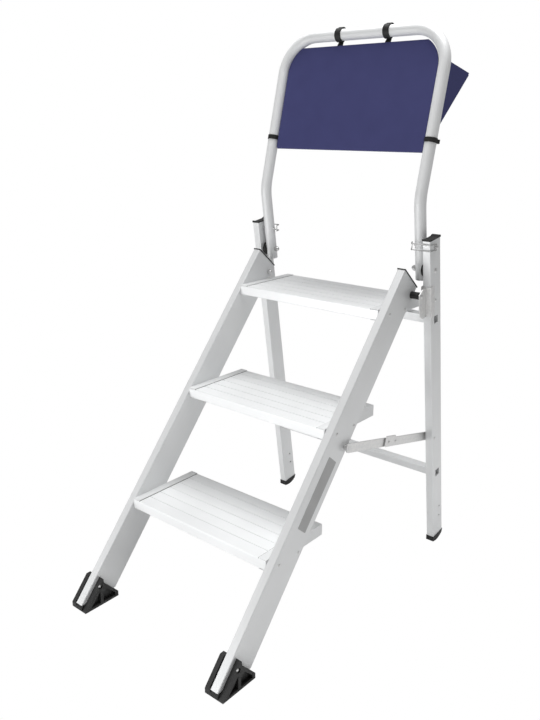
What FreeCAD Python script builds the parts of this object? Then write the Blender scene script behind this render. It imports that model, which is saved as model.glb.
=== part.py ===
"""Folding three-tread step ladder with a guard hoop and a clip-on tool bin.

Frame: +X to the user's right, +Y away from the user, +Z up, millimetres.
The origin lies on the floor, under the middle of the ladder's overall length.
Most shapes are drawn in the side plane (Y, Z) and extruded across the ladder in X.
The right-hand piece of each pair is drawn and the left-hand one is its mirror image,
but the front feet are one shape used twice, and the left wire is turned half round.
"""
import FreeCAD, Part
import math
import os

V = FreeCAD.Vector

# ---------------------------------------------------------------- driving dimensions
# Treads
RISE = 235.0              # height from one tread to the next
RUN = 200.0               # set-back from one tread to the next
FIRST_TREAD = 230.0       # top of the lowest tread above the floor
TREAD_COUNT = 3
TREAD_DEPTH = 200.0       # over the end sleeves
TREAD_HEIGHT = 27.5       # over the end sleeves
TREAD_NOSE = 7.4          # how far a tread's top front edge stands before the stile face
SLEEVE_LENGTH = 20.5      # end sleeve, along X
SLEEVE_WALL = 1.2
SLEEVE_PLATE = 2.0        # end plate riveted to the stile
PLANK_WALL = 2.0
PLANK_WEB = 1.8
GROOVE_COUNT = 5
GROOVE_WIDTH = 2.4
GROOVE_DEPTH = 0.9

# Stiles (front frame)
STILE_INNER = 214.2       # half of the clear width between the stiles
STILE_WIDTH = 20.5
STILE_DEPTH = 79.0
STILE_WALL = 2.0
STILE_TOP = 783.0         # height of the front top corner
STILE_CAP = 3.0
STILE_CAP_LIP = 0.8

# Front feet
BOOT_LENGTH = 98.5
BOOT_HALF = 25.6
BOOT_HEEL = 13.0          # height of the upright heel face
BOOT_SHOULDER = 56.0      # height where the sloping rear edge meets the wall
BOOT_WALL_TOP = 67.0
BOOT_SOLE = 15.0          # thickness of plastic under the stile's end
BOOT_TOE = 12.0           # height of the wider wall's upright front
BOOT_LIP = 8.0            # height of the sole's upright front edge
BOOT_SLOT = 4.0           # hollow beside the stile, in the wider wall
BOOT_RIVET_SINK = 3.5     # the rivet's heads sit this deep in the cheeks
BOOT_GAP = 0.4            # play between the stile and its pocket
BOOT_RECESS = 9.0         # depth of the triangular recesses in each cheek
BOOT_RIM = 6.0

# Rear legs
LEG_OUTER = 273.8         # half of the width over the legs
LEG_WIDTH = 20.7
LEG_DEPTH = 48.6
LEG_WALL = 1.8
LEG_Y = 822.0             # where the front face of a leg would meet the floor
LEG_LEAN = 8.66           # degrees, leaning towards the user
LEG_BOTTOM = 15.5         # height of the front bottom corner
LEG_TOP = 848.0           # height of the front top corner
LEG_HOLES = (75.0, 104.5)
LEG_HOLE_R = 2.75
LEG_HOLE_INSET = 15.5     # from the rear face

# Crossbars between the legs
BAR_HEIGHTS = (217.0, 653.0)
BAR_DEPTH = 20.5
BAR_HEIGHT = 22.0
BAR_WALL = 1.2

# Main hinge
HINGE_Z = 718.0
HINGE_INSET = 9.0         # from the stile's rear face
HINGE_BOLT_R = 4.0
BUSH_R = 8.7
BRACKET_T = 3.0
BRACKET_EAR_X = 258.5     # inner face of the ear that carries the hinge bolt
BRACKET_EAR_T = 3.5
BRACKET_NOSE_R = 7.5
BRACKET_TOP = 738.0
BRACKET_BOTTOM = 663.0
BRACKET_OUTER_FLANGE = 14.0
BRACKET_INNER_FLANGE = 30.0

# Folding stays
STAY_STILE_Z = 411.0
STAY_STILE_INSET = 9.5    # from the stile's rear face
STAY_LEG_Z = 325.0
STAY_LEG_INSET = 11.0     # behind the leg's front face
STAY_FRONT_LENGTH = 171.0
STAY_HALF = 11.0
STAY_T = 3.0
STAY_TIP = 17.0           # how far the rear bar runs on past the knuckle
STAY_LIP_LENGTH = 50.0    # raised edge along the top of the knuckle
STAY_LIP_HEIGHT = 4.5
STOP_RIVET = 32.5         # from the knuckle's pivot, towards the leg
STAY_PIN_R = 3.0

# Guard hoop
HOOP_R = 14.0             # outside radius of the tube
HOOP_WALL = 2.0
HOOP_BEND = 90.0          # centre-line radius of the two top corners
HOOP_KINK_BEND = 110.0    # centre-line radius of the kink in each leg
HOOP_LEAN = 14.3          # degrees, the part above the kink leans away from the user
HOOP_END_Z = 750.0
HOOP_KINK_Z = 941.0
HOOP_RISE = 391.6         # from the kink to the middle of the top bar, along the hoop
HOOP_BOLT_Z = 776.0
HOOP_BOLT_R = 4.0
SPACER_R = 17.5
LOCK_Z = 833.0
LOCK_R = 3.0
LOCK_TIP = 5.0            # the pin's tip stands this far out of the tube
LOCK_HEAD = 5.0
WIRE_R = 1.2
WIRE_SPREAD = 7.3         # each wire's height above or below the pin

# Tool bin
BOARD_T = 3.0
BOARD_BOTTOM = 108.5      # along the hoop, above the kink
BOARD_TOP = 365.0
BIN_SHEET = 2.5
BIN_DEPTH = 138.6         # square to the board
BIN_TOP = 327.8           # along the hoop, above the kink
BIN_FLARE = 11.0          # each end widens by this much from board to back
BIN_CORNER = 7.0
HOOK_X = 70.0
HOOK_WIDTH = 16.0
HOOK_T = 2.8
HOOK_LIFT = 2.4           # how far the hook's free end stands off the bar
STRAP_ALONG = 135.5       # height of the two straps along the hoop, above the kink
STRAP_HEIGHT = 11.0
STRAP_T = 1.6

# Fits
TOUCH = 0.05              # gap between pieces of one body that lie face to face
RUN_FIT = 0.06            # radial play of a turning pin
HOOK_FIT = 0.08           # radial play of the bin's hooks on the hoop
MOVE_GAP = 0.4            # gap between pieces that move past each other
RIVET_R = 2.4
RIVET_HEAD_R = 4.2
RIVET_HEAD_T = 1.6

# ---------------------------------------------------------------- derived places
STILE_TAN = RUN / RISE
STILE_TILT = math.atan(STILE_TAN)
STILE_OUTER = STILE_INNER + STILE_WIDTH
STILE_MID = STILE_INNER + STILE_WIDTH / 2
TREAD_Y = 175.0           # front edge of the lowest tread
STILE_Y = TREAD_Y + TREAD_NOSE - FIRST_TREAD * STILE_TAN
LEG_TILT = math.radians(LEG_LEAN)
LEG_INNER = LEG_OUTER - LEG_WIDTH
HOOP_TILT = math.radians(HOOP_LEAN)
HOOP_X = LEG_INNER - 3.85 - HOOP_R


def stile_at(u, v):
    """Point in the side plane: u along the stile from the floor, v behind its front face."""
    s, c = math.sin(STILE_TILT), math.cos(STILE_TILT)
    return STILE_Y + u * s + v * c, u * c - v * s


def stile_u(z, v):
    """Distance along the stile at which a line v behind the front face has height z."""
    return (z + v * math.sin(STILE_TILT)) / math.cos(STILE_TILT)


def leg_at(u, v):
    """Point in the side plane: u along the leg from the floor, v behind its front face."""
    s, c = math.sin(LEG_TILT), math.cos(LEG_TILT)
    return LEG_Y - u * s + v * c, u * c + v * s


def leg_u(z, v):
    return (z - v * math.sin(LEG_TILT)) / math.cos(LEG_TILT)


HINGE = stile_at(stile_u(HINGE_Z, STILE_DEPTH - HINGE_INSET), STILE_DEPTH - HINGE_INSET)
STAY_A = stile_at(stile_u(STAY_STILE_Z, STILE_DEPTH - STAY_STILE_INSET),
                  STILE_DEPTH - STAY_STILE_INSET)
STAY_B = leg_at(leg_u(STAY_LEG_Z, STAY_LEG_INSET), STAY_LEG_INSET)
LEG_MID = LEG_DEPTH / 2
KINK = leg_at(leg_u(HOOP_KINK_Z, LEG_MID), LEG_MID)
HOOP_BOLT = leg_at(leg_u(HOOP_BOLT_Z, LEG_MID), LEG_MID)
LOCK = leg_at(leg_u(LOCK_Z, LEG_MID), LEG_MID)
FOLD_ANGLE = math.degrees(STILE_TILT + LEG_TILT)


def hoop_at(s, n=0.0):
    """Point in the side plane: s up the hoop from its kink, n behind its middle plane."""
    return (KINK[0] + s * math.sin(HOOP_TILT) + n * math.cos(HOOP_TILT),
            KINK[1] + s * math.cos(HOOP_TILT) - n * math.sin(HOOP_TILT))


def toward(p, q, distance):
    """The point that lies a distance from p on the line to q."""
    length = math.hypot(q[0] - p[0], q[1] - p[1])
    k = distance / length
    return p[0] + (q[0] - p[0]) * k, p[1] + (q[1] - p[1]) * k


STAY_K = toward(STAY_A, STAY_B, STAY_FRONT_LENGTH)

# Layers of the stay between the stile and the leg, across X
STAY_GAP = (LEG_INNER - STILE_OUTER)
STAY_REAR_X1 = LEG_INNER - 2.9
STAY_REAR_X0 = STAY_REAR_X1 - STAY_T
STAY_FRONT_X1 = STAY_REAR_X0 - 0.5
STAY_FRONT_X0 = STAY_FRONT_X1 - STAY_T


# ---------------------------------------------------------------- drawing helpers
def prism(points, x0, x1):
    """A polygon in the side plane, extruded from x0 to x1."""
    ring = [V(x0, y, z) for y, z in points]
    return Part.Face(Part.makePolygon(ring + ring[:1])).extrude(V(x1 - x0, 0, 0))


def rod(centre, radius, x0, x1):
    """A round bar along X."""
    return Part.makeCylinder(radius, x1 - x0, V(x0, centre[0], centre[1]), V(1, 0, 0))


def capsule(p, q, radius, x0, x1):
    """A flat bar along X with round ends at p and q."""
    length = math.hypot(q[0] - p[0], q[1] - p[1])
    a, b = (q[0] - p[0]) / length, (q[1] - p[1]) / length
    side = (-b * radius, a * radius)
    body = prism([(p[0] + side[0], p[1] + side[1]), (q[0] + side[0], q[1] + side[1]),
                  (q[0] - side[0], q[1] - side[1]), (p[0] - side[0], p[1] - side[1])], x0, x1)
    return body.fuse([rod(p, radius, x0, x1), rod(q, radius, x0, x1)]).removeSplitter()


def dome(centre, radius, height, x, sign):
    """A low rounded rivet head on a face at x that looks along sign * X."""
    ball_r = (radius * radius + height * height) / (2 * height)
    base = V(x + sign * (height - ball_r), centre[0], centre[1])
    ball = Part.makeSphere(ball_r, base)
    start = x if sign > 0 else x - height
    return ball.common(rod(centre, radius, start, start + height))


def hexagon(centre, across, x0, x1):
    """A hexagonal nut or head along X."""
    r = across / math.sqrt(3)
    points = [(centre[0] + r * math.cos(math.radians(60 * k)),
               centre[1] + r * math.sin(math.radians(60 * k))) for k in range(6)]
    return prism(points, x0, x1)


def mirrored(shape):
    return shape.mirror(V(0, 0, 0), V(1, 0, 0))


def round_long_edges(shape, radius, direction):
    """Round the straight edges that run along a direction."""
    edges = []
    for edge in shape.Edges:
        if len(edge.Vertexes) != 2:
            continue
        d = edge.Vertexes[1].Point.sub(edge.Vertexes[0].Point)
        if d.Length > 20 and abs(abs(d.normalize().dot(direction)) - 1) < 1e-6:
            edges.append(edge)
    return shape.makeFillet(radius, edges)


def tube_along(at, u0, u1, depth, x0, x1, wall, radius):
    """A hollow rectangular tube whose length runs along u in the side plane."""
    p, q = at(u0, 0), at(u1, 0)
    along = V(0, q[0] - p[0], q[1] - p[1]).normalize()
    outer = prism([at(u0, 0), at(u1, 0), at(u1, depth), at(u0, depth)], x0, x1)
    outer = round_long_edges(outer, radius, along)
    inner = prism([at(u0 - 5, wall), at(u1 + 5, wall), at(u1 + 5, depth - wall),
                   at(u0 - 5, depth - wall)], x0 + wall, x1 - wall)
    return outer.cut(inner)


# ---------------------------------------------------------------- front frame
def tread_front(n):
    return TREAD_Y + n * RUN


def tread_top(n):
    return FIRST_TREAD + n * RISE


def tread_rivet_places(n):
    y, z = tread_front(n), tread_top(n)
    return [(y + 20.0, z - 13.0), (y + 86.0, z - 13.0)]


def stile():
    u0 = stile_u(BOOT_SOLE + 1.0, 0)
    u1 = stile_u(STILE_TOP, 0)
    tube = tube_along(stile_at, u0, u1, STILE_DEPTH, STILE_INNER, STILE_OUTER, STILE_WALL, 2.0)
    floor_cut = Part.makeBox(60, 400, 200, V(STILE_INNER - 5, -150, BOOT_SOLE + TOUCH - 200))
    tube = tube.cut(floor_cut)
    holes = [rod(p, RIVET_R + TOUCH, STILE_INNER - 5, STILE_OUTER + 5)
             for n in range(TREAD_COUNT) for p in tread_rivet_places(n)]
    holes.append(rod(HINGE, HINGE_BOLT_R + TOUCH, STILE_INNER - 5, STILE_OUTER + 5))
    holes.append(rod(STAY_A, STAY_PIN_R + TOUCH, STILE_INNER - 5, STILE_OUTER + 5))
    holes.append(rod(boot_rivet_place(), RIVET_R + TOUCH, STILE_INNER - 5, STILE_OUTER + 5))
    return tube.cut(holes)


def stile_cap():
    """Thin plastic plate on the stile's square-cut top, with a plug inside the tube."""
    u = stile_u(STILE_TOP, 0) + TOUCH
    lip = STILE_CAP_LIP
    plate = prism([stile_at(u, -lip), stile_at(u + STILE_CAP, -lip),
                   stile_at(u + STILE_CAP, STILE_DEPTH + lip), stile_at(u, STILE_DEPTH + lip)],
                  STILE_INNER - lip, STILE_OUTER + lip)
    inset = STILE_WALL + TOUCH
    plug = prism([stile_at(u - 12, inset), stile_at(u, inset),
                  stile_at(u, STILE_DEPTH - inset), stile_at(u - 12, STILE_DEPTH - inset)],
                 STILE_INNER + inset, STILE_OUTER - inset)
    return plate.fuse(plug)


def plank_outline(n, inset):
    y0, z1 = tread_front(n) + inset, tread_top(n) - inset
    y1, z0 = tread_front(n) + TREAD_DEPTH - inset, tread_top(n) - TREAD_HEIGHT + inset
    return y0, y1, z0, z1


def plank(n):
    """Extruded tread: hollow, with two inner webs and grooves along its top."""
    half = STILE_INNER - TOUCH - SLEEVE_PLATE - TOUCH
    y0, y1 = tread_front(n), tread_front(n) + TREAD_DEPTH
    z0, z1 = plank_outline(n, SLEEVE_WALL + TOUCH)[2:]
    body = Part.makeBox(2 * half, y1 - y0, z1 - z0, V(-half, y0, z0))
    body = round_long_edges(body, 2.5, V(1, 0, 0))
    chambers = 3
    inner = (y1 - y0 - 2 * PLANK_WALL - (chambers - 1) * PLANK_WEB) / chambers
    for k in range(chambers):
        y = y0 + PLANK_WALL + k * (inner + PLANK_WEB)
        body = body.cut(Part.makeBox(2 * half, inner, z1 - z0 - 2 * PLANK_WALL - GROOVE_DEPTH,
                                     V(-half, y, z0 + PLANK_WALL)))
    pitch = (y1 - y0) / (GROOVE_COUNT + 1)
    for k in range(GROOVE_COUNT):
        y = y0 + pitch * (k + 1) - GROOVE_WIDTH / 2
        body = body.cut(Part.makeBox(2 * half, GROOVE_WIDTH, 2 * GROOVE_DEPTH,
                                     V(-half, y, z1 - GROOVE_DEPTH)))
    return body


def sleeve(n):
    """Channel over the tread's right end: two lips and the plate riveted to the stile."""
    x1 = STILE_INNER - TOUCH
    x0 = x1 - SLEEVE_LENGTH
    y0, y1, z0, z1 = plank_outline(n, 0)
    body = Part.makeBox(SLEEVE_LENGTH, y1 - y0, z1 - z0, V(x0, y0, z0))
    body = round_long_edges_of_length(body, 1.1, V(1, 0, 0), SLEEVE_LENGTH)
    w = SLEEVE_WALL
    body = body.cut(Part.makeBox(SLEEVE_LENGTH - SLEEVE_PLATE, y1 - y0 + 2, z1 - z0 - 2 * w,
                                 V(x0, y0 - 1, z0 + w)))
    return body.cut([rod(p, RIVET_R + TOUCH, x0, x1 + 1) for p in tread_rivet_places(n)])


def round_long_edges_of_length(shape, radius, direction, length):
    edges = []
    for edge in shape.Edges:
        if len(edge.Vertexes) != 2 or abs(edge.Length - length) > 1e-3:
            continue
        d = edge.Vertexes[1].Point.sub(edge.Vertexes[0].Point).normalize()
        if abs(abs(d.dot(direction)) - 1) < 1e-6:
            edges.append(edge)
    return shape.makeFillet(radius, edges)


def tread_rivet(place):
    """Blind rivet through the stile and the sleeve's end plate."""
    x0 = STILE_INNER - TOUCH - SLEEVE_PLATE - TOUCH
    x1 = STILE_OUTER + TOUCH
    shank = rod(place, RIVET_R, x0 - 1.5, x1 + 0.5)
    tail = rod(place, RIVET_HEAD_R - 1.0, x0 - 2.0, x0)
    return shank.fuse([dome(place, RIVET_HEAD_R, RIVET_HEAD_T, x1, 1), tail]).removeSplitter()


def both_sides(shapes):
    return Part.makeCompound(shapes + [mirrored(s) for s in shapes])


# ---------------------------------------------------------------- front feet
def boot_rivet_place():
    return 48.0, 50.0


def boot_profile():
    """Side outline of a front foot: flat sole, upright heel, sloping shoulder, front edge."""
    shoulder_y = BOOT_WALL_TOP * STILE_TAN + 1.5
    return [(0, 0), (BOOT_LENGTH, 0), (BOOT_LENGTH, BOOT_HEEL), (shoulder_y, BOOT_SHOULDER),
            (shoulder_y - 1.0, BOOT_WALL_TOP), (0.85 * BOOT_RIM - 2.0, 4.0)]


def boot_tall_profile():
    """Side outline of the boot's wider wall, which stands flush with the stile's front."""
    front = (BOOT_WALL_TOP - BOOT_TOE) * STILE_TAN
    return boot_profile()[:-1] + [(front, BOOT_WALL_TOP), (0, BOOT_TOE)]


def boot():
    """Plastic boot round the stile's lower end, open to the front, with a riveted pocket."""
    x0, x1 = STILE_MID - BOOT_HALF, STILE_MID + BOOT_HALF
    gap = BOOT_GAP
    body = prism(boot_profile(), x0, x1)
    body = body.fuse([prism(boot_tall_profile(), x0, STILE_INNER - gap),
                      prism([(0, 0), (20, 0), (20, BOOT_SOLE), (6, BOOT_SOLE), (0, BOOT_LIP)],
                            x0, STILE_OUTER + gap)]).removeSplitter()
    slot = prism([stile_at(-200, -60), stile_at(400, -60), stile_at(400, 24.0),
                  stile_at(-200, 24.0)], STILE_INNER - gap - BOOT_SLOT, STILE_INNER)
    pocket = prism([stile_at(-200, -60), stile_at(400, -60), stile_at(400, STILE_DEPTH + gap),
                    stile_at(-200, STILE_DEPTH + gap)], STILE_INNER - gap, STILE_OUTER + gap)
    below = Part.makeBox(200, 400, 200, V(x0 - 50, -200, BOOT_SOLE - 200))
    body = body.cut([pocket.cut(below), slot.cut(below)])
    return body.cut(boot_recesses(x0, x1) + [rod(boot_rivet_place(), RIVET_R + TOUCH, x0, x1)]
                    + [rod(boot_rivet_place(), RIVET_HEAD_R + 1.4, x, x + BOOT_RIVET_SINK)
                       for x in (x0, x1 - BOOT_RIVET_SINK)])


def boot_recesses(x0, x1):
    """Two triangular hollows on each cheek, either side of an upright rib."""
    rim = BOOT_RIM
    front = [(17.0, rim), (46.0, rim), (46.0, 38.0)]
    rear = [(54.0, rim), (BOOT_LENGTH - 9.0, rim), (BOOT_LENGTH - 9.0, 13.0),
            (66.0, 37.0), (54.0, 30.0)]
    cuts = []
    for outline in (front, rear):
        cuts.append(prism(outline, x0 - 1, x0 + BOOT_RECESS))
        cuts.append(prism(outline, x1 - BOOT_RECESS, x1 + 1))
    return cuts


def boot_rivet():
    place = boot_rivet_place()
    x0 = STILE_MID - BOOT_HALF + BOOT_RIVET_SINK
    x1 = STILE_MID + BOOT_HALF - BOOT_RIVET_SINK
    shank = rod(place, RIVET_R, x0 - 0.5, x1 + 0.5)
    heads = [dome(place, RIVET_HEAD_R, RIVET_HEAD_T, x1 + TOUCH, 1),
             dome(place, RIVET_HEAD_R, RIVET_HEAD_T, x0 - TOUCH, -1)]
    return shank.fuse(heads).removeSplitter()


# ---------------------------------------------------------------- main hinge
def hinge_bolt():
    """Bolt through the stile, the bush and the bracket's ear, headed outside the ear."""
    x0, x1 = STILE_INNER - TOUCH, BRACKET_EAR_X + BRACKET_EAR_T + 0.1
    shank = rod(HINGE, HINGE_BOLT_R, x0 - 5.0, x1 + 0.5)
    return shank.fuse(dome(HINGE, 5.6, 3.2, x1, 1)).removeSplitter()


def hinge_nut():
    """Closed nut on the hinge bolt's inner end."""
    return closed_nut(HINGE, STILE_INNER - TOUCH)


def hinge_bush():
    x0, x1 = STILE_OUTER + TOUCH, BRACKET_EAR_X - 0.2
    return rod(HINGE, BUSH_R, x0, x1).cut(rod(HINGE, HINGE_BOLT_R + TOUCH, x0, x1))


def hinge_bracket():
    """Channel folded round the leg's front, with an ear forward to the hinge bolt."""
    top, low, t = leg_u(BRACKET_TOP, 0), leg_u(BRACKET_BOTTOM, 0), BRACKET_T
    inner, outer = LEG_INNER - TOUCH, LEG_OUTER + TOUCH

    def sheet(v1, x0, x1):
        return prism([leg_at(low, -TOUCH - t), leg_at(top, -TOUCH - t),
                      leg_at(top, v1), leg_at(low, v1)], x0, x1)

    web = sheet(-TOUCH, inner - t, outer + t)
    flanges = [sheet(BRACKET_OUTER_FLANGE, outer, outer + t),
               sheet(BRACKET_INNER_FLANGE, inner - t, inner)]
    x0, x1 = BRACKET_EAR_X, BRACKET_EAR_X + BRACKET_EAR_T
    u, v = leg_u(HINGE[1], 0), -TOUCH - t / 2
    reach = (HINGE[0] - leg_at(u, 0)[0]) * math.cos(LEG_TILT)
    hinge_u = leg_u(HINGE[1], reach)
    r = BRACKET_NOSE_R
    ear = prism([leg_at(top - 3.0, v), leg_at(top - 3.0, reach + 8.0),
                 leg_at(hinge_u + 4.0, reach - r), leg_at(hinge_u - 36.0, reach - r),
                 leg_at(low + 6.0, reach - r + 2.5), leg_at(low, reach + 4.0), leg_at(low, v)],
                x0, x1)
    ear = ear.fuse(rod(HINGE, r, x0, x1)).removeSplitter()
    body = web.fuse(flanges + [ear]).removeSplitter()
    holes = [rod(HINGE, HINGE_BOLT_R + RUN_FIT, x0 - 1, x1 + 1),
             rod(bracket_rivet_place(), RIVET_R + TOUCH, inner - t - 1, inner + 1),
             prism(bar_corners(BAR_HEIGHTS[1], TOUCH), inner - t - 1, inner + 1)]
    return body.cut(holes)


def bracket_rivet_place():
    v = 23.0
    return leg_at(leg_u(702.6, v), v)


def through_rivet(place, x0, x1):
    """Rivet whose two domed heads bear on faces at x0 and x1."""
    shank = rod(place, RIVET_R, x0 - 0.5, x1 + 0.5)
    heads = [dome(place, RIVET_HEAD_R, RIVET_HEAD_T, x1 + TOUCH, 1),
             dome(place, RIVET_HEAD_R, RIVET_HEAD_T, x0 - TOUCH, -1)]
    return shank.fuse(heads).removeSplitter()


# ---------------------------------------------------------------- rear frame
def bar_centre(z):
    return leg_at(leg_u(z, LEG_MID), LEG_MID)


def bar_corners(z, grow=0.0):
    u = leg_u(z, LEG_MID)
    h, d = BAR_HEIGHT / 2 + grow, BAR_DEPTH / 2 + grow
    return [leg_at(u - h, LEG_MID - d), leg_at(u + h, LEG_MID - d),
            leg_at(u + h, LEG_MID + d), leg_at(u - h, LEG_MID + d)]


def leg():
    u0, u1 = leg_u(LEG_BOTTOM, 0), leg_u(LEG_TOP, 0)
    tube = tube_along(leg_at, u0, u1, LEG_DEPTH, LEG_INNER, LEG_OUTER, LEG_WALL, 2.0)
    a, b = LEG_INNER - 5, LEG_OUTER + 5
    cuts = [prism(bar_corners(z, TOUCH), a, b) for z in BAR_HEIGHTS]
    cuts += [rod(HOOP_BOLT, HOOP_BOLT_R + TOUCH, a, b), rod(LOCK, LOCK_R + 0.3, a, b)]
    cuts += [rod(STAY_B, STAY_PIN_R + TOUCH, a, b)]
    cuts.append(rod(bracket_rivet_place(), RIVET_R + TOUCH, a, b))
    inset = LEG_DEPTH - LEG_HOLE_INSET
    cuts += [rod(leg_at(leg_u(z, inset), inset), LEG_HOLE_R, a, b) for z in LEG_HOLES]
    return tube.cut(cuts)


def crossbar(z):
    """Rectangular tube through both legs, its ends flush with their outer faces."""
    x = LEG_OUTER - TOUCH
    outer = round_long_edges(prism(bar_corners(z), -x, x), 2.0, V(1, 0, 0))
    return outer.cut(prism(bar_corners(z, -BAR_WALL), -x, x))


def leg_cap():
    """Plug with a saddle top: a lip stands up at the front and at the rear."""
    u = leg_u(LEG_TOP, 0) + TOUCH
    d, lip, base = LEG_DEPTH, 4.6, 2.0
    top = prism([leg_at(u, -0.8), leg_at(u + lip, -0.8), leg_at(u + lip, 3.0),
                 leg_at(u + base, 9.0), leg_at(u + base, d - 9.0), leg_at(u + lip, d - 3.0),
                 leg_at(u + lip, d + 0.8), leg_at(u, d + 0.8)],
                LEG_INNER - 0.8, LEG_OUTER + 0.8)
    inset = LEG_WALL + TOUCH
    plug = prism([leg_at(u - 10, inset), leg_at(u, inset), leg_at(u, d - inset),
                  leg_at(u - 10, d - inset)], LEG_INNER + inset, LEG_OUTER - inset)
    return top.fuse(plug)


def leg_foot():
    """Plastic foot with a curved underside that rolls as the leg swings."""
    u = leg_u(LEG_BOTTOM, 0) - TOUCH
    x0, x1 = LEG_INNER - 0.8, LEG_OUTER + 0.8
    front, rear = leg_at(u, -0.8), leg_at(u, LEG_DEPTH + 0.8)
    touch_y = front[0] + 14.0
    radius = 50.0
    left = (front[0] + 0.8, 1.6)
    heel_angle = math.radians(42.0)
    heel = (touch_y + radius * math.sin(heel_angle), radius * (1 - math.cos(heel_angle)))
    points = [V(x0, front[0], front[1]), V(x0, left[0], left[1])]
    edges = [Part.makeLine(points[0], points[1])]
    middle = (touch_y, 0.0)
    edges.append(Part.makeLine(points[1], V(x0, middle[0], middle[1])))
    half = heel_angle / 2
    via = V(x0, touch_y + radius * math.sin(half), radius * (1 - math.cos(half)))
    edges.append(Part.Arc(V(x0, middle[0], middle[1]), via, V(x0, heel[0], heel[1])).toShape())
    edges.append(Part.makeLine(V(x0, heel[0], heel[1]), V(x0, rear[0], rear[1])))
    edges.append(Part.makeLine(V(x0, rear[0], rear[1]), points[0]))
    sole = Part.Face(Part.Wire(edges)).extrude(V(x1 - x0, 0, 0))
    inset = LEG_WALL + TOUCH
    plug = prism([leg_at(u, inset), leg_at(u + 14, inset), leg_at(u + 14, LEG_DEPTH - inset),
                  leg_at(u, LEG_DEPTH - inset)], LEG_INNER + inset, LEG_OUTER - inset)
    grooves = [rod((touch_y + radius * math.sin(a), radius * (1 - math.cos(a))), 0.9,
                   x0 - 1, x1 + 1) for a in (math.radians(d) for d in (6, 13, 20, 27, 34))]
    return sole.fuse(plug).cut(grooves)


# ---------------------------------------------------------------- folding stays
def stay_front_bar():
    """Flat bar from the stile to the knuckle."""
    bar = capsule(STAY_A, STAY_K, STAY_HALF, STAY_FRONT_X0, STAY_FRONT_X1)
    return bar.cut(rod(STAY_A, STAY_PIN_R + RUN_FIT, STAY_FRONT_X0 - 1, STAY_FRONT_X1 + 1))


def stay_rear_bar():
    """Flat bar from the leg past the knuckle, with a raised edge over the joint."""
    tip = toward(STAY_K, STAY_A, STAY_TIP)
    length = math.hypot(STAY_B[0] - tip[0], STAY_B[1] - tip[1])
    a, b = (STAY_B[0] - tip[0]) / length, (STAY_B[1] - tip[1]) / length

    def at(along, up):
        return tip[0] + a * along - b * up, tip[1] + b * along + a * up

    x0, x1 = STAY_REAR_X0, STAY_REAR_X1
    bar = prism([at(0, -STAY_HALF), at(length, -STAY_HALF), at(length, STAY_HALF),
                 at(0, STAY_HALF)], x0, x1)
    bar = bar.fuse(rod(STAY_B, STAY_HALF, x0, x1))
    high = STAY_HALF + STAY_LIP_HEIGHT
    lip = prism([at(0, 0), at(STAY_LIP_LENGTH, 0), at(STAY_LIP_LENGTH - 3.0, high),
                 at(0, high)], x0, x1)
    bar = bar.fuse(lip).removeSplitter()
    return bar.cut(rod(STAY_B, STAY_PIN_R + RUN_FIT, x0 - 1, x1 + 1))


def knuckle_rivets():
    """Heads of the knuckle pivot and the stop rivet, on the rear bar's outer face."""
    second = toward(STAY_K, STAY_B, STOP_RIVET)
    x = STAY_REAR_X1 + TOUCH
    return [dome(p, RIVET_HEAD_R, RIVET_HEAD_T, x, 1) for p in (STAY_K, second)]


def stay_bolt():
    """Bolt through the stile that carries the stay's front end."""
    x0, x1 = STILE_INNER - TOUCH, STAY_FRONT_X1 + 0.15
    shank = rod(STAY_A, STAY_PIN_R, x0 - 0.5, x1 + 0.2)
    head = dome(STAY_A, 5.0, 2.2, x0, -1)
    return shank.fuse([head, rod(STAY_A, 4.6, x1, x1 + 0.3)]).removeSplitter()


def stay_spacer():
    x0, x1 = STILE_OUTER + TOUCH, STAY_FRONT_X0 - MOVE_GAP / 2
    return rod(STAY_A, 6.5, x0, x1).cut(rod(STAY_A, STAY_PIN_R + TOUCH, x0, x1))


def stay_leg_rivet():
    """Rivet through the leg that carries the stay's rear end, with a washer shoulder."""
    x0, x1 = STAY_REAR_X0 - 0.1, LEG_OUTER + TOUCH
    shank = rod(STAY_B, STAY_PIN_R, x0, x1 + 0.5)
    washer = rod(STAY_B, 6.5, STAY_REAR_X1 + 0.2, LEG_INNER - TOUCH)
    head = dome(STAY_B, RIVET_HEAD_R, RIVET_HEAD_T, x1, 1)
    return shank.fuse([washer, head]).removeSplitter()


# ---------------------------------------------------------------- guard hoop
def bend(p, corner, q, radius):
    """Tangent points and middle of an arc that rounds a corner between p and q."""
    a = p.sub(corner).normalize()
    b = q.sub(corner).normalize()
    half = math.acos(max(-1.0, min(1.0, a.dot(b)))) / 2
    reach = radius / math.tan(half)
    middle_dir = a.add(b).normalize()
    centre = corner + middle_dir * (radius / math.sin(half))
    return corner + a * reach, centre - middle_dir * radius, corner + b * reach


def hoop_path():
    end = leg_at(leg_u(HOOP_END_Z, LEG_MID), LEG_MID)
    top = hoop_at(HOOP_RISE)
    x = HOOP_X
    corners = [V(x, *end), V(x, *KINK), V(x, *top), V(-x, *top), V(-x, *KINK), V(-x, *end)]
    radii = [0, HOOP_KINK_BEND, HOOP_BEND, HOOP_BEND, HOOP_KINK_BEND, 0]
    edges, start = [], corners[0]
    for k in range(1, len(corners) - 1):
        first, middle, last = bend(corners[k - 1], corners[k], corners[k + 1], radii[k])
        edges.append(Part.makeLine(start, first))
        edges.append(Part.Arc(first, middle, last).toShape())
        start = last
    edges.append(Part.makeLine(start, corners[-1]))
    return Part.Wire(edges)


def hoop_rod(radius):
    """A solid round bar along the hoop's centre line."""
    path = hoop_path()
    start = path.Edges[0].Vertexes[0].Point
    along = path.Edges[0].Vertexes[1].Point.sub(start).normalize()
    ring = Part.Wire(Part.makeCircle(radius, start, along))
    return path.makePipeShell([ring], True, True)


def hoop_envelope(clearance):
    return hoop_rod(HOOP_R + clearance)


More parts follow.
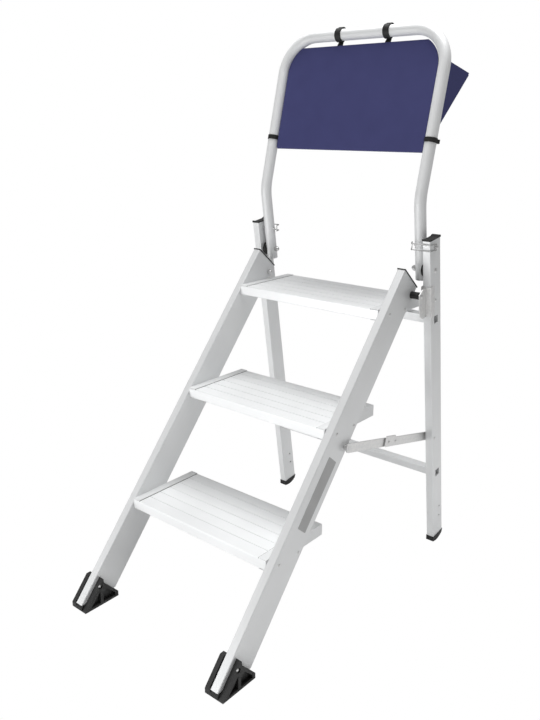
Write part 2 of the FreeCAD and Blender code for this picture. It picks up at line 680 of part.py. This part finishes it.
def hoop():
    tube = hoop_rod(HOOP_R).cut(hoop_rod(HOOP_R - HOOP_WALL))
    cuts = []
    for sign in (1, -1):
        x = sign * HOOP_X
        for place, radius in ((HOOP_BOLT, HOOP_BOLT_R + TOUCH), (LOCK, LOCK_R + 0.3)):
            cuts.append(rod(place, radius, x - HOOP_R - 2, x + HOOP_R + 2))
    return tube.cut(cuts)


def hoop_bolt():
    """Bolt through leg, spacer and tube, with its low head outside the leg."""
    x0, x1 = HOOP_X - HOOP_R, LEG_OUTER + TOUCH
    shank = rod(HOOP_BOLT, HOOP_BOLT_R, x0 - 5.0, x1 + 0.5)
    return shank.fuse(dome(HOOP_BOLT, 6.5, 2.4, x1, 1)).removeSplitter()


def closed_nut(centre, x1):
    """Hexagonal nut with a round cap, on a face at x1 that looks inwards."""
    cap = Part.makeSphere(5.6, V(x1 - 6.0, *centre))
    cap = cap.common(Part.makeBox(20, 40, 40, V(x1 - 20, centre[0] - 20, centre[1] - 20)))
    body = hexagon(centre, 13.0, x1 - 6.0, x1).fuse(cap).removeSplitter()
    return body.cut(rod(centre, HOOP_BOLT_R + TOUCH, x1 - 5.0 - TOUCH, x1 + 1))


def dome_nut():
    return closed_nut(HOOP_BOLT, HOOP_X - HOOP_R - TOUCH)


def hoop_spacer():
    """Black disc between the leg and the tube, hollowed to sit round the tube."""
    x1 = LEG_INNER - TOUCH
    disc = rod(HOOP_BOLT, SPACER_R, x1 - 9.0, x1)
    end = leg_at(leg_u(HOOP_END_Z, LEG_MID) - 30, LEG_MID)
    direction = V(0, KINK[0] - end[0], KINK[1] - end[1]).normalize()
    tube = Part.makeCylinder(HOOP_R + TOUCH, 120, V(HOOP_X, *end), direction)
    inner_half = Part.makeBox(HOOP_X + 2.0, 4000, 4000, V(0, -2000, -2000))
    body = disc.cut([tube, inner_half])
    return body.cut(rod(HOOP_BOLT, HOOP_BOLT_R + TOUCH, x1 - 20, x1 + 1))


def lock_pin():
    """Pull pin through the leg and the hoop tube."""
    tip = HOOP_X - HOOP_R - LOCK_TIP
    x1 = LEG_OUTER + 0.2
    body = rod(LOCK, LOCK_R, tip + 1, x1 + 1)
    point = Part.makeCone(LOCK_R - 1, LOCK_R, 1.0, V(tip, *LOCK), V(1, 0, 0))
    head = rod(LOCK, 5.0, x1, x1 + LOCK_HEAD).fuse(dome(LOCK, 5.0, 1.5, x1 + LOCK_HEAD, 1))
    body = body.fuse([point, head]).removeSplitter()
    x, z = lock_wire_axis_x(), V(0, 0, 1)
    hole = Part.makeCylinder(WIRE_R + RUN_FIT, 40, V(x, LOCK[0], LOCK[1] - 20), z)
    return body.cut(hole)


def lock_wire_axis_x():
    return LEG_OUTER + 0.2 + LOCK_HEAD / 2


def lock_wire():
    """Double wire bail: hinged in the pin's head, round the leg's front to the pin's tip."""
    y, z = LOCK
    axis_x = lock_wire_axis_x()
    front_y = leg_at(leg_u(z, 0), 0)[0] - 4.5
    inner_x = HOOP_X - HOOP_R - LOCK_TIP - WIRE_R - 0.8
    outline = [V(axis_x, y, 0), V(axis_x, front_y, 0), V(inner_x + 12, front_y, 0),
               V(inner_x, y - 5.0, 0)]

    def level(h):
        pts = [p + V(0, 0, z + h) for p in outline]
        edges, start = [], pts[0]
        for k in (1, 2):
            first, middle, last = bend(pts[k - 1], pts[k], pts[k + 1], 4.0)
            edges.append(Part.makeLine(start, first))
            edges.append(Part.Arc(first, middle, last).toShape())
            start = last
        edges.append(Part.makeLine(start, pts[-1]))
        path = Part.Wire(edges)
        ring = Part.Wire(Part.makeCircle(WIRE_R, pts[0], V(0, -1, 0)))
        return path.makePipeShell([ring], True, True)

    posts = []
    for x, post_y in ((axis_x, y), (inner_x, y - 5.0)):
        posts.append(Part.makeCylinder(WIRE_R, 2 * WIRE_SPREAD, V(x, post_y, z - WIRE_SPREAD)))
        for h in (-WIRE_SPREAD, WIRE_SPREAD):
            posts.append(Part.makeSphere(WIRE_R, V(x, post_y, z + h)))
    return level(WIRE_SPREAD).fuse([level(-WIRE_SPREAD)] + posts)


# ---------------------------------------------------------------- tool bin
def board_half():
    """Half of the board's width: it swings clear of the straps round the hoop's legs."""
    return HOOP_X - HOOP_R - HOOK_FIT - STRAP_T - MOVE_GAP


def board():
    """Front board, hung inside the hoop, with top corners that follow its bends."""
    half = board_half()
    corner_x = HOOP_X - HOOP_BEND
    corner_s = HOOP_RISE - HOOP_BEND
    r = half - corner_x
    up = BOARD_TOP - corner_s
    angle = math.asin(up / r)
    low, small = BOARD_BOTTOM, 5.0

    def at(x, s):
        y, z = hoop_at(s, -BOARD_T / 2)
        return V(x, y, z)

    def arc(cx, cs, radius, a0, a1):
        p = [at(cx + radius * math.cos(a), cs + radius * math.sin(a))
             for a in (a0, (a0 + a1) / 2, a1)]
        return Part.Arc(*p).toShape(), p[0], p[2]

    turns = [arc(half - small, low + small, small, -math.pi / 2, 0),
             arc(corner_x, corner_s, r, 0, angle),
             arc(-corner_x, corner_s, r, math.pi - angle, math.pi),
             arc(-half + small, low + small, small, math.pi, 1.5 * math.pi)]
    edges = []
    for k, (edge, first, last) in enumerate(turns):
        edges.append(edge)
        edges.append(Part.makeLine(last, turns[(k + 1) % len(turns)][1]))
    normal = V(0, math.cos(HOOP_TILT), -math.sin(HOOP_TILT))
    return Part.Face(Part.Wire(edges)).extrude(normal * BOARD_T)


def bin_corners(inset):
    """Corners of the bin's inside in the side plane, drawn in from its back by an inset."""
    front = BOARD_T / 2 + TOUCH
    depth = BIN_DEPTH - BIN_SHEET * 1.2
    low = BOARD_BOTTOM + 0.5
    slope = (depth - front) / (BIN_TOP - low)
    shift = inset * math.hypot(1.0, slope)
    return (hoop_at(low + shift / slope, front), hoop_at(BIN_TOP, front),
            hoop_at(BIN_TOP, depth - shift))


def bin_end():
    """Triangular end sheet, splayed outwards to the rear and notched for the hoop's bend."""
    x = board_half() - BIN_SHEET

    def at(p):
        depth = ((p[0] - KINK[0]) * math.cos(HOOP_TILT)
                 - (p[1] - KINK[1]) * math.sin(HOOP_TILT))
        return V(x + BIN_FLARE * depth / BIN_DEPTH, p[0], p[1])

    ring = [at(p) for p in bin_corners(TOUCH)]
    sheet = Part.Face(Part.makePolygon(ring + ring[:1])).extrude(V(BIN_SHEET, 0, 0))
    return sheet.cut(hoop_envelope(MOVE_GAP))


def bin_back():
    """Sloping back sheet of the bin, with rounded top corners."""
    low, _, rear = bin_corners(0.0)
    half0 = board_half()
    half1 = board_half() + BIN_FLARE
    length = math.hypot(rear[0] - low[0], rear[1] - low[1])
    ey, ez = (rear[0] - low[0]) / length, (rear[1] - low[1]) / length

    def at(x, s):
        return V(x, low[0] + ey * s, low[1] + ez * s)

    r = BIN_CORNER
    k = (half1 - half0) / length
    right = [at(half0, 0), at(half1 - k * r, length - r), at(half1 - r * 0.3, length - r * 0.3),
             at(half1 - r, length)]
    left = [V(-p.x, p.y, p.z) for p in right]
    edges = [Part.makeLine(right[0], right[1]), Part.Arc(*right[1:]).toShape(),
             Part.makeLine(right[3], left[3]), Part.Arc(*left[:0:-1]).toShape(),
             Part.makeLine(left[1], left[0]), Part.makeLine(left[0], right[0])]
    outward = V(0, ez, -ey)
    return Part.Face(Part.Wire(edges)).extrude(outward * BIN_SHEET)


def ring_sector(inner, outer, a0, a1, width, centre, across, up, axis):
    """Part of a ring in the plane of across and up, from angle a0 to a1, extruded by width."""
    def at(radius, a):
        return centre + across * (radius * math.cos(a)) + up * (radius * math.sin(a))

    mid = (a0 + a1) / 2
    edges = [Part.Arc(at(outer, a0), at(outer, mid), at(outer, a1)).toShape(),
             Part.makeLine(at(outer, a1), at(inner, a1)),
             Part.Arc(at(inner, a1), at(inner, mid), at(inner, a0)).toShape(),
             Part.makeLine(at(inner, a0), at(outer, a0))]
    return Part.Face(Part.Wire(edges)).extrude(axis * width)


def hook():
    """Snap hook over the hoop's top bar, open to the rear, with a tab behind the board."""
    x0 = HOOK_X - HOOK_WIDTH / 2
    centre = V(x0, *hoop_at(HOOP_RISE))
    back = V(0, math.cos(HOOP_TILT), -math.sin(HOOP_TILT))
    up = V(0, math.sin(HOOP_TILT), math.cos(HOOP_TILT))
    inner = HOOP_R + HOOK_FIT
    outer = inner + HOOK_T
    ring = ring_sector(inner, outer, math.radians(95), math.radians(305), HOOK_WIDTH,
                       centre, back, up, V(1, 0, 0))
    turn = math.radians(60)
    lift = (back * math.cos(turn) + up * math.sin(turn)) * HOOK_LIFT
    free = ring_sector(inner, outer, math.radians(22), math.radians(105), HOOK_WIDTH,
                       centre + lift, back, up, V(1, 0, 0))
    n0 = BOARD_T / 2 + TOUCH
    n1 = n0 + HOOK_T
    end = math.radians(305)
    arm = [hoop_at(HOOP_RISE + inner * math.sin(end), inner * math.cos(end)),
           hoop_at(HOOP_RISE + outer * math.sin(end), outer * math.cos(end)),
           hoop_at(BOARD_TOP - 20, n1 + 1.0), hoop_at(BOARD_TOP - 20, n0),
           hoop_at(BOARD_TOP + 3, n0)]
    tab = prism(arm, x0 + 2, x0 + HOOK_WIDTH - 2)
    bar = Part.makeCylinder(inner, 400, V(HOOK_X - 200, *hoop_at(HOOP_RISE)), V(1, 0, 0))
    return ring.fuse([free.cut(bar), tab.cut(bar)]).removeSplitter()


def strap():
    """Band pulled tight round the hoop's leg, with its buckle at the outer rear."""
    base = hoop_at(STRAP_ALONG - STRAP_HEIGHT / 2)
    centre = V(HOOP_X, *base)
    back = V(0, math.cos(HOOP_TILT), -math.sin(HOOP_TILT))
    up = V(0, math.sin(HOOP_TILT), math.cos(HOOP_TILT))
    inner, outer = HOOP_R + HOOK_FIT, HOOP_R + HOOK_FIT + STRAP_T
    band = Part.makeCylinder(outer, STRAP_HEIGHT, centre, up)
    turn = math.radians(40)
    radial = V(1, 0, 0) * math.cos(turn) + back * math.sin(turn)
    side = back * math.cos(turn) - V(1, 0, 0) * math.sin(turn)
    start = centre + radial * (inner + STRAP_T / 2) - side * 3.0 + up * 1.0
    ring = [start, start + radial * 5.5, start + radial * 5.5 + side * 6.0, start + side * 6.0]
    buckle = Part.Face(Part.makePolygon(ring + ring[:1])).extrude(up * (STRAP_HEIGHT - 2))
    tube = Part.makeCylinder(inner, 60, centre - up * 20, up)
    return band.fuse(buckle).removeSplitter().cut(tube)


# ---------------------------------------------------------------- assembly
def build():
    """All pieces by node name, in the drawing frame."""
    nodes = {}

    def pair(name, shape):
        nodes[name + "_right"] = shape
        nodes[name + "_left"] = mirrored(shape)

    pair("stile", stile())
    pair("stile_cap", stile_cap())
    nodes["front_foot_right"] = boot()
    nodes["front_foot_left"] = boot().translated(V(-2 * STILE_MID, 0, 0))
    for n in range(TREAD_COUNT):
        nodes["tread_%d" % (n + 1)] = plank(n)
        pair("tread_end_%d" % (n + 1), sleeve(n))
    nodes["tread_rivets"] = both_sides([tread_rivet(p) for n in range(TREAD_COUNT)
                                        for p in tread_rivet_places(n)])
    nodes["front_foot_rivets"] = both_sides([boot_rivet()])
    pair("hinge_bolt", hinge_bolt())
    pair("hinge_bush", hinge_bush())
    nodes["hinge_nuts"] = both_sides([hinge_nut()])
    nodes["stay_bolts"] = both_sides([stay_bolt()])
    nodes["stay_spacers"] = both_sides([stay_spacer()])

    pair("rear_leg", leg())
    nodes["lower_crossbar"] = crossbar(BAR_HEIGHTS[0])
    nodes["upper_crossbar"] = crossbar(BAR_HEIGHTS[1])
    pair("leg_cap", leg_cap())
    pair("rear_foot", leg_foot())
    pair("hinge_bracket", hinge_bracket())
    nodes["hinge_bracket_rivets"] = both_sides(
        [through_rivet(bracket_rivet_place(), LEG_INNER - BRACKET_T - TOUCH, LEG_OUTER)])
    nodes["stay_leg_rivets"] = both_sides([stay_leg_rivet()])
    pair("stay_front_bar", stay_front_bar())
    pair("stay_rear_bar", stay_rear_bar())
    for side, turn in (("right", lambda s: s), ("left", mirrored)):
        nodes["knuckle_rivets_" + side] = Part.makeCompound([turn(s) for s in knuckle_rivets()])

    nodes["guard_hoop"] = hoop()
    nodes["hoop_bolts"] = both_sides([hoop_bolt()])
    nodes["dome_nuts"] = both_sides([dome_nut()])
    pair("hoop_spacer", hoop_spacer())
    pair("lock_pin", lock_pin())
    nodes["lock_wire_right"] = lock_wire()
    nodes["lock_wire_left"] = mirrored(lock_wire())
    nodes["lock_wire_left"].rotate(V(0, *LOCK), V(1, 0, 0), 180)

    nodes["bin_board"] = board()
    nodes["bin_back"] = bin_back()
    pair("bin_end", bin_end())
    pair("bin_hook", hook())
    pair("bin_strap", strap())
    return nodes


def centre_y(nodes):
    """Middle of the whole ladder's length, which becomes Y = 0."""
    boxes = [shape.BoundBox for shape in nodes.values()]
    return (min(b.YMin for b in boxes) + max(b.YMax for b in boxes)) / 2


def main():
    os.makedirs("parts", exist_ok=True)
    nodes = build()
    shift = V(0, -centre_y(nodes), 0)
    for name, shape in nodes.items():
        shape.translate(shift)
        shape.exportStep("parts/%s.step" % name)
    print(len(nodes), "nodes, shifted by", shift)


main()
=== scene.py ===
"""Looks of the folding step ladder: materials, small surface details, studio and camera."""
import math

import bmesh
import bpy
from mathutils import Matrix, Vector


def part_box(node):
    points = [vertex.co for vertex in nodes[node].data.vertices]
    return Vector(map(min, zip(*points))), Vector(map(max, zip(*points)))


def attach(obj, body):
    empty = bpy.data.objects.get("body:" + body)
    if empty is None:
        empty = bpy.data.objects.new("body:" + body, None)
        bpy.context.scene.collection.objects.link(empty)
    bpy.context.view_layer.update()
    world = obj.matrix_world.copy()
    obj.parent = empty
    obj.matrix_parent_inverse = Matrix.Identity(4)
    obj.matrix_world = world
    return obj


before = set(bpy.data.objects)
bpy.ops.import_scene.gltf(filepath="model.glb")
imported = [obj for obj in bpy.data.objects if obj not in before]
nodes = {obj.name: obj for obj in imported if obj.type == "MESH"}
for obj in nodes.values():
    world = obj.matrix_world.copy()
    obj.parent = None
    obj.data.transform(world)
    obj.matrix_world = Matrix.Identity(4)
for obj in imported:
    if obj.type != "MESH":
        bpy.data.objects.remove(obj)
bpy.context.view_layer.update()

# The toe edge of the front feet is the reference for places along Y. Lengths in metres.
TOE_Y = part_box("front_foot_right")[0].y
STILE_TILT = math.atan2(200.0, 235.0)
LEG_TILT = math.radians(-8.66)

SHADE_LINE_HALF = 0.0009        # half the width of the painted shade line beside a tread's end channel: a dark line standing in for the shadow in the gap there
# grey of the painted shade line (painted shadow in the gap beside the end channel)
SHADE_LINE_GREY = 0.10


# ------------------------------------------------------------------ node helpers
class Graph:
    """A material's node tree with short calls to add and link nodes."""

    def __init__(self, name):
        self.material = bpy.data.materials.new(name)
        self.material.use_nodes = True
        self.tree = self.material.node_tree
        self.tree.nodes.clear()
        self.output = self.add("ShaderNodeOutputMaterial")
        self.shader = self.add("ShaderNodeBsdfPrincipled")
        self.link(self.shader.outputs["BSDF"], self.output.inputs["Surface"])

    def add(self, kind, **values):
        node = self.tree.nodes.new(kind)
        for key, value in values.items():
            setattr(node, key, value)
        return node

    def link(self, a, b):
        self.tree.links.new(a, b)

    def set(self, **values):
        for key, value in values.items():
            self.shader.inputs[key.replace("_", " ")].default_value = value

    def coords(self, scale=(1, 1, 1), tilt=0.0):
        """Object coordinates, turned about X so that Z follows a sloping part, then scaled."""
        source = self.add("ShaderNodeTexCoord")
        turn = self.add("ShaderNodeMapping")
        turn.inputs["Rotation"].default_value = (tilt, 0, 0)
        size = self.add("ShaderNodeMapping")
        size.inputs["Scale"].default_value = scale
        self.link(source.outputs["Object"], turn.inputs["Vector"])
        self.link(turn.outputs["Vector"], size.inputs["Vector"])
        return size.outputs["Vector"]

    def noise(self, vector, scale, detail=3.0, roughness=0.5):
        node = self.add("ShaderNodeTexNoise")
        node.inputs["Scale"].default_value = scale
        node.inputs["Detail"].default_value = detail
        node.inputs["Roughness"].default_value = roughness
        self.link(vector, node.inputs["Vector"])
        return node.outputs["Fac"]

    def ramp(self, factor, stops):
        node = self.add("ShaderNodeValToRGB")
        band = node.color_ramp
        while len(band.elements) < len(stops):
            band.elements.new(0.5)
        for element, (place, colour) in zip(band.elements, stops):
            element.position = place
            element.color = (*colour, 1.0)
        self.link(factor, node.inputs["Fac"])
        return node.outputs["Color"]

    def spread(self, factor, low, high):
        node = self.add("ShaderNodeMapRange")
        node.inputs["To Min"].default_value = low
        node.inputs["To Max"].default_value = high
        self.link(factor, node.inputs["Value"])
        return node.outputs["Result"]

    def seam(self, colour, place):
        """Painted shade: a fine dark line across a part's upward faces, at a distance either
        side of the middle plane, in place of the shadow in a narrow gap.
        """
        source = self.add("ShaderNodeTexCoord")
        split = self.add("ShaderNodeSeparateXYZ")
        self.link(source.outputs["Object"], split.inputs[0])
        side = self.add("ShaderNodeMath", operation="ABSOLUTE")
        self.link(split.outputs["X"], side.inputs[0])
        line = self.add("ShaderNodeMath", operation="COMPARE")
        line.inputs[1].default_value = place
        line.inputs[2].default_value = SHADE_LINE_HALF
        self.link(side.outputs[0], line.inputs[0])
        facing = self.add("ShaderNodeSeparateXYZ")
        self.link(self.add("ShaderNodeNewGeometry").outputs["Normal"], facing.inputs[0])
        upward = self.add("ShaderNodeMath", operation="GREATER_THAN")
        upward.inputs[1].default_value = 0.5
        self.link(facing.outputs["Z"], upward.inputs[0])
        both = self.add("ShaderNodeMath", operation="MULTIPLY")
        self.link(line.outputs[0], both.inputs[0])
        self.link(upward.outputs[0], both.inputs[1])
        mix = self.add("ShaderNodeMix", data_type="RGBA")
        self.link(both.outputs[0], mix.inputs["Factor"])
        self.link(colour, mix.inputs[6])
        mix.inputs[7].default_value = (*grey(SHADE_LINE_GREY), 1.0)
        return mix.outputs[2]

    def bump(self, height, strength, distance):
        node = self.add("ShaderNodeBump")
        node.inputs["Strength"].default_value = strength
        node.inputs["Distance"].default_value = distance
        self.link(height, node.inputs["Height"])
        return node.outputs["Normal"]


def grey(value, tint=(1.0, 1.0, 1.0)):
    return tuple(value * t for t in tint)


# ------------------------------------------------------------------ materials
def extrusion(name, tilt, along, light, rough=0.42, seam=None, metal=0.35):
    """Anodised aluminium extrusion: fine lines along its length and faint mottling."""
    g = Graph(name)
    fine = {"x": (6, 900, 900), "z": (900, 900, 6)}[along]
    lines = g.noise(g.coords(fine, tilt), 1.0, 2.0)
    cloud = g.noise(g.coords((1, 1, 1), tilt), 9.0, 3.0)
    mix = g.add("ShaderNodeMath", operation="ADD")
    g.link(g.spread(lines, -0.35, 0.35), mix.inputs[0])
    g.link(cloud, mix.inputs[1])
    tint = (0.985, 0.995, 1.0)
    colour = g.ramp(mix.outputs[0], [(0.2, grey(light * 0.94, tint)), (0.8, grey(light, tint))])
    # painted shade: a dark line on the top faces standing in for the shadow in the gap beside
    # the end channel
    if seam is not None:
        colour = g.seam(colour, seam)
    g.link(colour, g.shader.inputs["Base Color"])
    g.link(g.spread(lines, rough - 0.06, rough + 0.08), g.shader.inputs["Roughness"])
    g.link(g.bump(lines, 0.12, 0.0002), g.shader.inputs["Normal"])
    g.set(Metallic=metal, Specular_IOR_Level=0.5)
    return g.material


def zinc(name, light, rough):
    """Bright zinc plate with slight clouding."""
    g = Graph(name)
    cloud = g.noise(g.coords(), 160.0, 4.0)
    g.link(g.ramp(cloud, [(0.3, grey(light * 0.85)), (0.75, grey(light, (1.0, 0.995, 0.98)))]),
           g.shader.inputs["Base Color"])
    g.link(g.spread(cloud, rough - 0.08, rough + 0.12), g.shader.inputs["Roughness"])
    g.link(g.bump(cloud, 0.08, 0.0003), g.shader.inputs["Normal"])
    g.set(Metallic=0.9)
    return g.material


def plastic(name, dark, light, rough=0.5, grain=1500.0, shine=0.35):
    """Moulded plastic with a fine spark-eroded grain."""
    g = Graph(name)
    grains = g.noise(g.coords(), grain, 2.0)
    cloud = g.noise(g.coords(), 22.0, 3.0)
    g.link(g.ramp(cloud, [(0.25, dark), (0.8, light)]), g.shader.inputs["Base Color"])
    g.link(g.spread(grains, rough - 0.05, rough + 0.08), g.shader.inputs["Roughness"])
    g.link(g.bump(grains, 0.15, 0.0002), g.shader.inputs["Normal"])
    g.set(Specular_IOR_Level=shine)
    return g.material


STILE = extrusion("aluminium_stile", STILE_TILT, "z", 0.77)
LEG = extrusion("aluminium_leg", LEG_TILT, "z", 0.80)
# where the painted shadow line runs, just inside the tread's end channel
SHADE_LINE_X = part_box("tread_end_1_right")[0].x - SHADE_LINE_HALF
TREAD = extrusion("aluminium_tread", 0.0, "x", 0.90, 0.4, seam=SHADE_LINE_X)
SLEEVE = extrusion("aluminium_sleeve", 0.0, "x", 0.78, 0.45)
HOOP = extrusion("aluminium_hoop", 0.0, "z", 0.81, 0.54, metal=0.25)
BAR = extrusion("aluminium_bar", 0.0, "x", 0.78, 0.42)
ZINC = zinc("zinc_plate", 0.73, 0.36)
STRIP = zinc("zinc_strip", 0.82, 0.42)
WIRE = zinc("zinc_wire", 0.5, 0.28)
BLACK = plastic("black_plastic", grey(0.013), grey(0.022), grain=1400.0, shine=0.32)
BLUE = plastic("blue_sheet", (0.045, 0.048, 0.142), (0.050, 0.053, 0.156), 0.6, 1800.0, 0.2)
PLATE = plastic("blank_plate", grey(0.40), grey(0.44))

# The first prefix that fits a node's name gives its material.
LOOKS = [
    ("stile_cap", BLACK), ("stile", STILE), ("tread_end", SLEEVE), ("tread_rivets", ZINC),
    ("tread", TREAD), ("front_foot_rivets", ZINC), ("front_foot", BLACK),
    ("hinge_bush", BLACK), ("hinge_bracket_rivets", ZINC), ("hinge_bracket", STRIP),
    ("hinge", ZINC), ("stay", ZINC), ("rear_leg", LEG),
    ("lower_crossbar", BAR), ("upper_crossbar", BAR), ("leg_cap", BLACK), ("rear_foot", BLACK),
    ("knuckle", ZINC), ("guard_hoop", HOOP), ("hoop_bolts", ZINC), ("dome_nuts", ZINC),
    ("hoop_spacer", BLACK), ("lock_pin", ZINC), ("lock_wire", WIRE), ("bin_hook", BLACK),
    ("bin_strap", BLACK), ("bin", BLUE),
]
for name, node in nodes.items():
    material = next(m for prefix, m in LOOKS if name.startswith(prefix))
    node.data.materials.clear()
    node.data.materials.append(material)


# ------------------------------------------------------------------ mesh helpers
def mesh_object(name, build, material, body):
    """A named mesh made by a function, riding on a body."""
    bm = bmesh.new()
    build(bm)
    bmesh.ops.recalc_face_normals(bm, faces=bm.faces)
    mesh = bpy.data.meshes.new(name)
    bm.to_mesh(mesh)
    bm.free()
    obj = bpy.data.objects.new(name, mesh)
    bpy.context.scene.collection.objects.link(obj)
    mesh.materials.append(material)
    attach(obj, body)


def slab(bm, corners, normal, thickness):
    """A thin plate on four corners, raised along a normal."""
    low = [bm.verts.new(c) for c in corners]
    high = [bm.verts.new(c + normal * thickness) for c in corners]
    bm.faces.new(low)
    bm.faces.new(high)
    for k in range(len(corners)):
        j = (k + 1) % len(corners)
        bm.faces.new((low[k], low[j], high[j], high[k]))


# ------------------------------------------------------------------ blank plate on the stile
# Each corner's distance behind the toe edge and its height, round the plate from the top.
PLATE_CORNERS = [(0.3678, 0.4079), (0.3943, 0.3852), (0.2824, 0.2553), (0.2569, 0.2776)]
PLATE_RADIUS = 0.002
PLATE_THICKNESS = 0.0003


def blank_plate(bm):
    """The stile's label place: a bare plate with rounded corners, square to the stile."""
    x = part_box("stile_right")[1].x
    corners = [Vector((x, y + TOE_Y, z)) for y, z in PLATE_CORNERS]
    ring = []
    for k, here in enumerate(corners):
        before, after = corners[k - 1], corners[(k + 1) % len(corners)]
        a = here + (before - here).normalized() * PLATE_RADIUS
        b = here + (after - here).normalized() * PLATE_RADIUS
        for t in (0.0, 0.33, 0.67, 1.0):
            ring.append(a * (1 - t) ** 2 + here * 2 * t * (1 - t) + b * t * t)
    slab(bm, ring, Vector((1, 0, 0)), PLATE_THICKNESS)


mesh_object("blank_plate", blank_plate, PLATE, "front_frame")


# ------------------------------------------------------------------ studio
WORLD_LIGHT = 0.33
KEY_POWER = 20.0          # watts
TOP_POWER = 125.0
FLOOR_HALF = 12.0
FLOOR_DROP = 0.0005       # keeps the floor just clear of the feet


def white_to_camera(tree, shader, white, output):
    """Show a plain white to the camera and the shader to every other ray."""
    path = tree.nodes.new("ShaderNodeLightPath")
    mix = tree.nodes.new("ShaderNodeMixShader")
    tree.links.new(path.outputs["Is Camera Ray"], mix.inputs[0])
    tree.links.new(shader.outputs[0], mix.inputs[1])
    tree.links.new(white.outputs[0], mix.inputs[2])
    tree.links.new(mix.outputs[0], output.inputs["Surface"])


def floor():
    """White floor that lights the ladder from below."""
    mesh = bpy.data.meshes.new("floor")
    corners = [(-1, -1), (1, -1), (1, 1), (-1, 1)]
    mesh.from_pydata([(x * FLOOR_HALF, y * FLOOR_HALF, -FLOOR_DROP) for x, y in corners],
                     [], [(0, 1, 2, 3)])
    obj = bpy.data.objects.new("floor", mesh)
    bpy.context.scene.collection.objects.link(obj)
    g = Graph("pale_floor")
    g.set(Base_Color=(*grey(0.9), 1.0), Roughness=0.9)
    white_to_camera(g.tree, g.shader, g.add("ShaderNodeEmission"), g.output)
    mesh.materials.append(g.material)


def background():
    world = bpy.data.worlds.new("studio")
    bpy.context.scene.world = world
    world.use_nodes = True
    tree = world.node_tree
    soft = tree.nodes["Background"]
    seen = tree.nodes.new("ShaderNodeBackground")
    for node, strength in ((soft, WORLD_LIGHT), (seen, 1.0)):
        node.inputs["Color"].default_value = (1, 1, 1, 1)
        node.inputs["Strength"].default_value = strength
    white_to_camera(tree, soft, seen, tree.nodes["World Output"])


def area(name, place, aim, size, power):
    """A soft rectangular light at a place, turned to an aim."""
    data = bpy.data.lights.new(name, "AREA")
    data.shape = "RECTANGLE"
    data.size, data.size_y = size
    data.energy = power
    light = bpy.data.objects.new(name, data)
    bpy.context.scene.collection.objects.link(light)
    light.location = place
    light.rotation_euler = (Vector(aim) - Vector(place)).to_track_quat("-Z", "Y").to_euler()


CAMERA_LENS = 37.664      # millimetres, on a sensor 36 mm high
CAMERA_PLACE = (1.1161, TOE_Y - 0.8795, 1.1166)
CAMERA_DOWN = 17.65       # degrees below level
CAMERA_TURN = 40.18       # degrees to the left of straight ahead


def camera():
    data = bpy.data.cameras.new("camera")
    data.sensor_width = 36.0
    data.sensor_fit = "AUTO"
    data.lens = CAMERA_LENS
    data.clip_start, data.clip_end = 0.05, 60.0
    cam = bpy.data.objects.new("camera", data)
    bpy.context.scene.collection.objects.link(cam)
    cam.location = CAMERA_PLACE
    cam.rotation_euler = (math.radians(90 - CAMERA_DOWN), 0.0, math.radians(CAMERA_TURN))
    bpy.context.scene.camera = cam


floor()
background()
area("key", (-0.7, -2.2, 0.35), (0, 0, 0.2), (1.6, 0.6), KEY_POWER)
area("top", (0.0, 0.5, 3.8), (0, 0, 0.4), (2.0, 2.0), TOP_POWER)
camera()
bpy.context.scene.view_settings.view_transform = "Standard"
bpy.context.scene.view_settings.look = "None"
